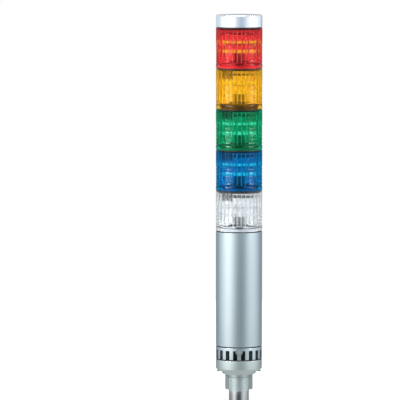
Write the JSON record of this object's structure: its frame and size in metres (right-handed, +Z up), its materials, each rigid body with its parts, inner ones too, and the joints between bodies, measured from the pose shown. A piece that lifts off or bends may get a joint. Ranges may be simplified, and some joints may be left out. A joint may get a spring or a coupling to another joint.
{
  "type": "stack light",
  "caption": "Slim five-tier stack light, 40 mm across: red, amber, green, blue and clear twist-lock tiers, chrome cap, silver body, slotted sounder ring and pole adapter.",
  "frame": {"origin": "the middle of the pole's lower end", "axes": "+Z runs up the column and -Y is the front, with the volume dial"},
  "size_m": [0.04, 0.04, 0.3486],
  "materials": {
    "satin_silver": "satin silver paint on a drawn tube, mouldings and cup",
    "cap_chrome": "bright chrome plating on a moulded cap",
    "pole_steel": "polished stainless tube",
    "black_moulding": "black moulded plastic",
    "black_rubber": "black rubber seal",
    "clear_lens": "clear prismatic polycarbonate",
    "blue_lens": "blue prismatic polycarbonate",
    "green_lens": "green prismatic polycarbonate",
    "amber_lens": "amber prismatic polycarbonate",
    "red_lens": "red prismatic polycarbonate",
    "white_moulding": "white moulded lamp carrier",
    "lamp": "moulded lamp package, unlit",
    "circuit_board": "green lacquered circuit board",
    "contact_metal": "plated contact pins",
    "fastener_steel": "zinc plated steel",
    "component_plastic": "dark component mouldings"
  },
  "bodies": {
    "base": {"pole": "pole_steel", "hub": "satin_silver", "hub_nut": "fastener_steel", "cable_grommet": "black_rubber", "base_cup": "satin_silver", "locating_pegs": "black_moulding", "case_screws": "fastener_steel", "cup_seal": "black_rubber", "sound_ring": "satin_silver", "volume_trimmer": "component_plastic", "sounder_board": "circuit_board", "sounder": "component_plastic", "lower_bulkhead": "black_moulding", "body_tube": "satin_silver", "tie_rods": "fastener_steel", "main_board": "circuit_board", "board_capacitors": "component_plastic", "board_chips": "component_plastic", "terminal_block": "component_plastic", "tier_plug": "component_plastic", "riser_pins": "contact_metal", "lock_ring_clear": "black_moulding", "contact_disc_clear": "circuit_board", "socket_pins_clear": "contact_metal"},
    "clear_tier": {"lens_clear": "clear_lens", "led_carrier_clear": "white_moulding", "leds_clear": "lamp", "spring_contacts_clear": "contact_metal", "lock_ring_blue": "black_moulding", "contact_disc_blue": "circuit_board", "socket_pins_blue": "contact_metal"},
    "blue_tier": {"lens_blue": "blue_lens", "led_carrier_blue": "white_moulding", "leds_blue": "lamp", "spring_contacts_blue": "contact_metal", "lock_ring_green": "black_moulding", "contact_disc_green": "circuit_board", "socket_pins_green": "contact_metal"},
    "green_tier": {"lens_green": "green_lens", "led_carrier_green": "white_moulding", "leds_green": "lamp", "spring_contacts_green": "contact_metal", "lock_ring_amber": "black_moulding", "contact_disc_amber": "circuit_board", "socket_pins_amber": "contact_metal"},
    "amber_tier": {"lens_amber": "amber_lens", "led_carrier_amber": "white_moulding", "leds_amber": "lamp", "spring_contacts_amber": "contact_metal", "lock_ring_red": "black_moulding", "contact_disc_red": "circuit_board", "socket_pins_red": "contact_metal"},
    "red_tier": {"lens_red": "red_lens", "led_carrier_red": "white_moulding", "leds_red": "lamp", "spring_contacts_red": "contact_metal", "lock_ring_cap": "black_moulding"},
    "cap": {"head_cap": "cap_chrome"},
    "dial": {"volume_dial": "satin_silver"}
  },
  "joints": [
    {"name": "clear_twist", "type": "hinge", "parent": "base", "child": "clear_tier", "pos_m": [0, 0, 0.1616], "axis": [0, 0, 1], "range_deg": [0, 15]},
    {"name": "blue_twist", "type": "hinge", "parent": "clear_tier", "child": "blue_tier", "pos_m": [0, 0, 0.1967], "axis": [0, 0, 1], "range_deg": [0, 15]},
    {"name": "green_twist", "type": "hinge", "parent": "blue_tier", "child": "green_tier", "pos_m": [0, 0, 0.2318], "axis": [0, 0, 1], "range_deg": [0, 15]},
    {"name": "amber_twist", "type": "hinge", "parent": "green_tier", "child": "amber_tier", "pos_m": [0, 0, 0.2669], "axis": [0, 0, 1], "range_deg": [0, 15]},
    {"name": "red_twist", "type": "hinge", "parent": "amber_tier", "child": "red_tier", "pos_m": [0, 0, 0.302], "axis": [0, 0, 1], "range_deg": [0, 15]},
    {"name": "cap_twist", "type": "hinge", "parent": "red_tier", "child": "cap", "pos_m": [0, 0, 0.3371], "axis": [0, 0, 1], "range_deg": [0, 15]},
    {"name": "dial_turn", "type": "hinge", "parent": "base", "child": "dial", "pos_m": [0, -0.018, 0.0589], "axis": [0, -1, 0], "range_deg": [-135, 135]}
  ]
}
